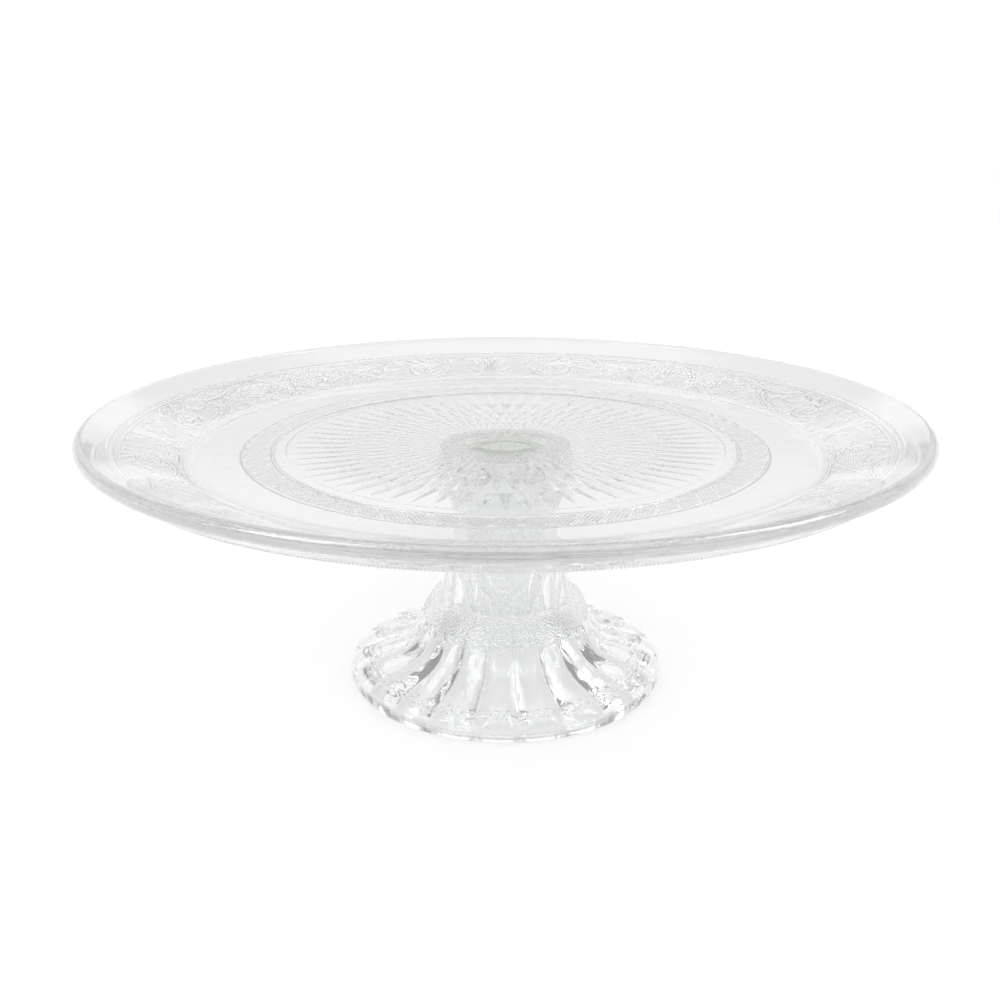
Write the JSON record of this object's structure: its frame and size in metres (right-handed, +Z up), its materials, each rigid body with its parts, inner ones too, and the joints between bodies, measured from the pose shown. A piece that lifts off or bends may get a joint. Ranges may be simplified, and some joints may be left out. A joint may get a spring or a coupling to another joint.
{
  "type": "cake stand",
  "caption": "Footed cake stand of clear pressed glass: a wide plate with a raised border, patterned underneath, on a fluted hollow pedestal.",
  "frame": {"origin": "on the axis of the stand, in the plane that the foot rests on", "axes": "+Z up along the axis of the stand; -Y is the front, 5.2 degrees before a groove of the foot"},
  "size_m": [0.32, 0.32, 0.112],
  "materials": {
    "plate_glass": "fire-polished, smooth on top and pressed relief underneath",
    "clear_cement": "clear, cured, wetting both glass faces",
    "pedestal_glass": "fire-polished, fluted outside and smooth inside"
  },
  "bodies": {
    "root": {"plate": "plate_glass", "adhesive_bond": "clear_cement", "pedestal": "pedestal_glass"}
  },
  "joints": []
}
